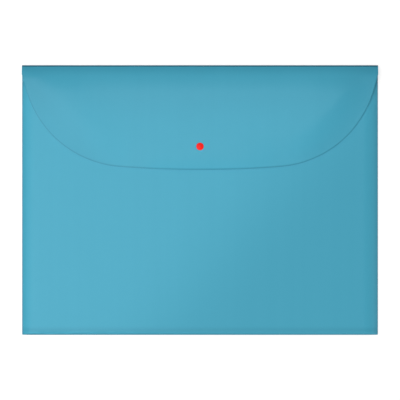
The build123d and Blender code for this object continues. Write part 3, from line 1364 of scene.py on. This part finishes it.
@dataclass
class PressStud:
    """The four moulded pieces of the press stud: cap and socket on the flap, stud and base on the front."""

    layout: Layout
    rivet_radius: float = 1.3  # of a post's flattened end
    rivet_depth: float = 0.2
    cap_rim: float = 0.45
    dome_points: int = 14
    gate_radius: float = 0.55  # mark of the mould's gate in the middle of the cap
    gate_depth: float = 0.06
    socket_roof: float = 0.4
    lip_height: float = 0.3
    lip_depth: float = 0.15
    ball_radius: float = 1.9
    ball_points: int = 11
    neck_radius: float = 1.7
    neck_height: float = 0.25
    flange_height: float = 0.5
    snap_clearance: float = 0.15
    soft_edge: float = 0.2
    crisp_edge: float = 0.05
    segments: int = 96

    @property
    def sink(self) -> float:
        """Radius of a countersink, where a post's flattened end lies."""
        return self.rivet_radius + POST_CLEARANCE

    def extent(self, node: str) -> Point:
        """Radius, bottom and top of one of the stud's nodes."""
        low, high = box_mm(node)
        return (high[0] - low[0]) / 2, low[2], high[2]

    def turned(self, name: str, corners: Grid, closed: bool) -> bpy.types.Object:
        """Turns a half section about the stud's axis, with its corners rounded.

        Each point of the section goes round a circle of its radius at its height. A section that isn't
        closed starts and ends on the axis, where one point closes the turned face.

        Args:
            name: the piece's name.
            corners: radius, height and easing distance of each corner of the section, anticlockwise.
            closed: whether the section goes round clear of the axis.

        Returns:
            The piece.
        """
        section = eased(corners)
        ring = section if closed else section[1:-1]
        angle = np.linspace(0, 2 * np.pi, self.segments, endpoint=False)[:, None]
        x = ring[None, :, 0] * np.cos(angle)
        y = self.layout.stud_y + ring[None, :, 0] * np.sin(angle)
        z = np.broadcast_to(ring[None, :, 1], x.shape)
        points = np.stack([x, y, z], axis=-1).reshape(-1, 3)
        index = np.arange(x.size).reshape(x.shape)
        around = np.concatenate([index, index[:1]], axis=0)
        if closed:
            around = np.concatenate([around, around[:, :1]], axis=1)
        faces = quads_of(around.T).reshape(-1, 4).tolist()
        if not closed:
            first, last = np.full(self.segments, x.size), np.full(self.segments, x.size + 1)
            start, end = around[:-1], around[1:]
            faces += np.stack([first, end[:, 0], start[:, 0]], axis=-1).tolist()
            faces += np.stack([last, start[:, -1], end[:, -1]], axis=-1).tolist()
            poles = np.array([[0.0, self.layout.stud_y, height] for height in section[[0, -1], 1]])
            points = np.concatenate([points, poles])
        return piece_of(name, points, faces)

    def cap(self) -> bpy.types.Object:
        """Makes the cap: a flattened post, a flat underside, a soft rim and a dome with the gate's mark.

        The dome's section is an arc of the circle through the rim and the crown.

        Returns:
            The piece.
        """
        radius, bottom, crown = self.extent("snap_cap")
        seat = self.layout.flap_top
        rim = seat + self.cap_rim
        dome_radius = (radius**2 + (crown - rim) ** 2) / (2 * (crown - rim))
        across = np.linspace(radius, self.gate_radius, self.dome_points)[1:]
        heights = crown - circle_drop(dome_radius, across)
        gate = heights[-1] - self.gate_depth
        crisp, soft = self.crisp_edge, self.soft_edge
        post_and_rim = [
            (0.0, bottom, 0.0),
            (self.rivet_radius, bottom, crisp),
            (POST_RADIUS, bottom + self.rivet_depth, crisp),
            (POST_RADIUS, seat, crisp),
            (radius, seat, crisp),
            (radius, rim, soft),
        ]
        dome = np.stack([across, heights, np.zeros_like(across)], axis=-1)[:-1]
        middle = [
            (self.gate_radius, heights[-1], crisp),
            (self.gate_radius - self.gate_depth, gate, crisp),
            (0.0, gate, 0.0),
        ]
        return self.turned("cap_dome", np.concatenate([post_and_rim, dome, middle]), closed=False)

    def socket(self) -> bpy.types.Object:
        """Makes the socket: a soft outer edge, a lip and a cavity for the ball, and the cap's countersink.

        Returns:
            The piece.
        """
        radius, bottom, top = self.extent("snap_socket")
        lip = self.ball_radius + self.snap_clearance
        cavity = lip + self.lip_depth
        ceiling = top - self.socket_roof
        crisp, soft = self.crisp_edge, self.soft_edge
        corners = [
            (lip, bottom, crisp),
            (radius, bottom, soft),
            (radius, top, crisp),
            (BORE, top, crisp),
            (BORE, ceiling + self.rivet_depth, crisp),
            (self.sink, ceiling, crisp),
            (cavity, ceiling, crisp),
            (cavity, bottom + self.lip_height, crisp),
            (lip, bottom + self.lip_height, crisp),
        ]
        return self.turned("socket_ring", np.array(corners), closed=True)

    def stud(self) -> bpy.types.Object:
        """Makes the stud: a flange, a neck and a bulging ball, countersunk for the base's post.

        The ball's section is a parabola, widest at half its height and as wide as the neck at its ends.

        Returns:
            The piece.
        """
        radius, bottom, top = self.extent("snap_stud")
        flange = bottom + self.flange_height
        neck_top = flange + self.neck_height
        half_ball = (top - neck_top) / 2
        step = np.linspace(-1, 1, self.ball_points)
        bulge = self.neck_radius + (self.ball_radius - self.neck_radius) * (1 - step**2)
        crisp, soft = self.crisp_edge, self.soft_edge
        flange_and_neck = [
            (BORE, bottom, crisp),
            (radius, bottom, crisp),
            (radius, flange, soft),
            (self.neck_radius, flange, crisp),
        ]
        ball = np.stack([bulge, neck_top + half_ball * (1 + step), np.zeros_like(step)], axis=-1)
        countersink = [
            (self.sink, top, crisp),
            (BORE, top - self.rivet_depth, crisp),
        ]
        return self.turned("stud_ball", np.concatenate([flange_and_neck, ball, countersink]), closed=True)

    def base(self) -> bpy.types.Object:
        """Makes the base: a disc with a soft edge inside the pocket, and a post flattened in the ball.

        Returns:
            The piece.
        """
        radius, bottom, top = self.extent("snap_base")
        seat = self.layout.front_top - self.layout.sheet
        crisp, soft = self.crisp_edge, self.soft_edge
        corners = [
            (0.0, bottom, 0.0),
            (radius, bottom, soft),
            (radius, seat, crisp),
            (POST_RADIUS, seat, crisp),
            (POST_RADIUS, top - self.rivet_depth, crisp),
            (self.rivet_radius, top, crisp),
            (0.0, top, 0.0),
        ]
        return self.turned("base_disc", np.array(corners), closed=False)

    def build(self) -> list[bpy.types.Object]:
        """Makes the four pieces and sets each on the body that carries it.

        Returns:
            The cap, socket, stud and base.
        """
        red = MouldedSnap().material()
        made = [
            (self.cap(), "snap_cap", Body.FLAP),
            (self.socket(), "snap_socket", Body.FLAP),
            (self.stud(), "snap_stud", Body.POCKET),
            (self.base(), "snap_base", Body.POCKET),
        ]
        for piece, node, body in made:
            dress(piece, red, (node,))
            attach(piece, body.value)
        return [piece for piece, _, _ in made]


@dataclass(frozen=True)
class Softbox:
    """A square or oblong studio lamp, aimed at a place on the wallet."""

    name: str
    place: Point
    watts: float
    size: tuple[float, float] = (500.0, 500.0)
    target: Point = (0.0, 0.0, 0.0)
    grid_angle: float = 180.0  # degrees over which its grid lets the light out
    turn: float = 0.0  # degrees about the line to its target

    def build(self) -> None:
        """Hangs the lamp in its place, facing its target."""
        lamp = bpy.data.lights.new(self.name, "AREA")
        lamp.shape = "RECTANGLE"
        lamp.size, lamp.size_y = (side * MM for side in self.size)
        lamp.energy = self.watts
        lamp.spread = np.radians(self.grid_angle)
        box = add_object(self.name, lamp)
        box.location = np.array(self.place) * MM
        facing = (Vector(self.target) - Vector(self.place)).to_track_quat("-Z", "Y").to_euler()
        facing.rotate_axis("Z", np.radians(self.turn))
        box.rotation_euler = facing


@dataclass
class Studio:
    """A pale floor, soft lamps and a camera straight above the wallet."""

    frame_width: float = 371.15  # what the photograph's width takes in at the wallet
    camera_height: float = 2600.0
    camera_sight: float = 100_000.0  # how far the camera sees
    sensor: float = 36.0
    floor_half: float = 6000.0
    floor_drop: float = 0.05  # below the wallet
    tent_colour: str = "FFFFFF"
    world_light: float = 0.28

    def floor(self) -> None:
        """Lays the floor, one flat face just under the wallet."""
        half, low = self.floor_half, -self.floor_drop
        corners = np.array([(-half, -half, low), (half, -half, low), (half, half, low), (-half, half, low)])
        floor = piece_of("floor", corners, [[0, 1, 2, 3]])
        floor.data.materials.append(PaintedBoard().material())

    def world(self) -> None:
        """Sets even light from all round, which the eye sees as white."""
        world = bpy.data.worlds.new("studio_tent")
        bpy.context.scene.world = world
        world.use_nodes = True
        tree = world.node_tree
        tree.nodes.clear()
        strength = add_node(
            tree,
            "ShaderNodeMapRange",
            {"Value": seen_rays(tree), "To Min": self.world_light, "To Max": 1.0},
        )
        light = add_node(
            tree,
            "ShaderNodeBackground",
            {"Color": linear(self.tent_colour), "Strength": strength.outputs["Result"]},
        )
        add_node(tree, "ShaderNodeOutputWorld", {"Surface": light.outputs["Background"]})

    def camera(self) -> None:
        """Sets the camera square on, and far enough away to show almost no perspective."""
        data = bpy.data.cameras.new("camera")
        data.sensor_width = self.sensor
        data.lens = self.sensor * self.camera_height / self.frame_width
        data.clip_end = self.camera_sight * MM
        camera = add_object("camera", data)
        camera.location = (0.0, 0.0, self.camera_height * MM)
        bpy.context.scene.camera = camera

    def lamps(self) -> tuple[Softbox, ...]:
        """A large softbox on the left, weak ones above and low on the right, and one with a grid.

        The gridded box hangs straight above the upper left half, with its long side along the edge of the
        diagonal sheen that it gives.

        Returns:
            The lamps.
        """
        return (
            Softbox("left_softbox", (-920.0, -340.0, 1800.0), watts=28.2, size=(1400.0, 1400.0)),
            Softbox("top_softbox", (-100.0, 200.0, 1200.0), watts=1.6),
            Softbox("right_softbox", (1350.0, -550.0, 450.0), watts=4.7),
            Softbox(
                "gridded_softbox",
                (-112.0, 122.0, 700.0),
                watts=0.092,
                size=(620.0, 420.0),
                target=(-112.0, 122.0, 0.0),
                grid_angle=11.0,
                turn=49.5,
            ),
        )

    def build(self) -> None:
        """Sets up the floor, world, camera and lamps."""
        self.floor()
        self.world()
        self.camera()
        for lamp in self.lamps():
            lamp.build()
        bpy.context.scene.view_settings.view_transform = "Standard"


def main() -> None:
    """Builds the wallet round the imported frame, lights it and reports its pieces."""
    logging.basicConfig(level=logging.INFO, format="%(name)s: %(message)s")
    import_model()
    layout = Layout.read()
    flap = Flap(layout)
    Studio().build()
    satin = PolypropyleneSheet().material()
    pieces = [
        *Pocket(layout).build(satin),
        flap.build(satin),
        *Spine(layout, flap).build(satin),
        *PressStud(layout).build(),
    ]
    for piece in pieces:
        LOG.info("%s: %d faces", piece.name, len(piece.data.polygons))


if __name__ == "__main__":
    main()
